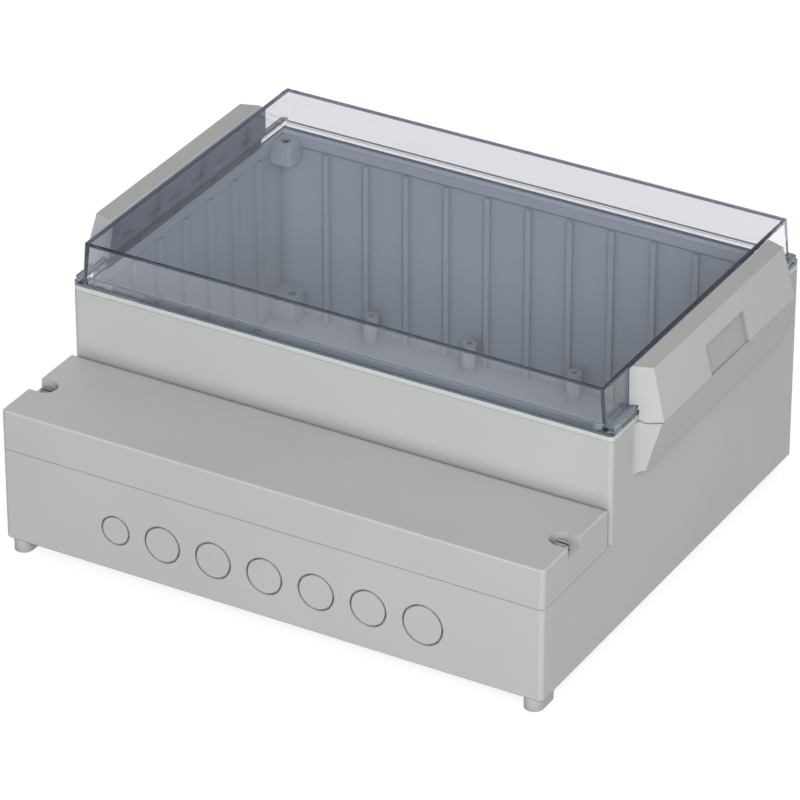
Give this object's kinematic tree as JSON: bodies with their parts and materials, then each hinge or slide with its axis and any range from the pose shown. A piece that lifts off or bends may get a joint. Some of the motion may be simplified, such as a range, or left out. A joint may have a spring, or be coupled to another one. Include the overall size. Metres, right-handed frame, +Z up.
{
  "type": "controller enclosure",
  "caption": "Stepped wall enclosure for a controller: clear hinged lid over a ribbed box, screwed terminal cover in front, knock-outs and feet.",
  "frame": {"origin": "centre of the enclosure's rectangle at the underside of its feet", "axes": "+Z up out of the wall plate towards the lid, +Y from the terminal end to the rear, +X to the right seen from the terminal end"},
  "size_m": [0.326, 0.266, 0.142],
  "materials": {
    "housing_plastic": "light grey satin moulded plastic",
    "cover_plastic": "light grey satin moulded plastic",
    "strip_plastic": "light grey satin moulded plastic",
    "clear_lid": "clear polished plastic, faint blue grey tint",
    "seal_rubber": "soft black foam rubber",
    "washer_rubber": "black rubber",
    "screw_steel": "zinc plated steel",
    "insert_brass": "bare turned brass"
  },
  "bodies": {
    "housing": {"base_housing": "housing_plastic", "terminal_insert_left": "insert_brass", "terminal_insert_right": "insert_brass", "corner_insert_front_left": "insert_brass", "corner_insert_front_right": "insert_brass", "corner_insert_rear_left": "insert_brass", "corner_insert_rear_right": "insert_brass"},
    "lid": {"clear_lid": "clear_lid", "lid_seal": "seal_rubber", "hinge_strip_left": "strip_plastic"},
    "latch_strip": {"latch_strip_right": "strip_plastic"},
    "terminal_lid": {"terminal_cover": "cover_plastic", "terminal_cover_seal": "seal_rubber", "screw_washer_left": "washer_rubber", "screw_washer_right": "washer_rubber"},
    "left_screw": {"terminal_screw_left": "screw_steel"},
    "right_screw": {"terminal_screw_right": "screw_steel"}
  },
  "joints": [
    {"name": "lid_hinge", "type": "hinge", "parent": "housing", "child": "lid", "pos_m": [-0.1585, 0.034, 0.117], "axis": [0, -1, 0], "range_deg": [0, 90]},
    {"name": "latch_swing", "type": "hinge", "parent": "lid", "child": "latch_strip", "pos_m": [0.1472, 0.034, 0.1399], "axis": [0, -1, 0], "range_deg": [0, 30]},
    {"name": "terminal_cover_lift", "type": "slide", "parent": "housing", "child": "terminal_lid", "axis": [0, 0, 1], "range_m": [0, 0.06]},
    {"name": "left_screw_turn", "type": "hinge", "parent": "terminal_lid", "child": "left_screw", "pos_m": [-0.1443, -0.1028, 0.0776], "axis": [0, 0, 1], "continuous": true},
    {"name": "right_screw_turn", "type": "hinge", "parent": "terminal_lid", "child": "right_screw", "pos_m": [0.1443, -0.1028, 0.0776], "axis": [0, 0, 1], "continuous": true}
  ]
}
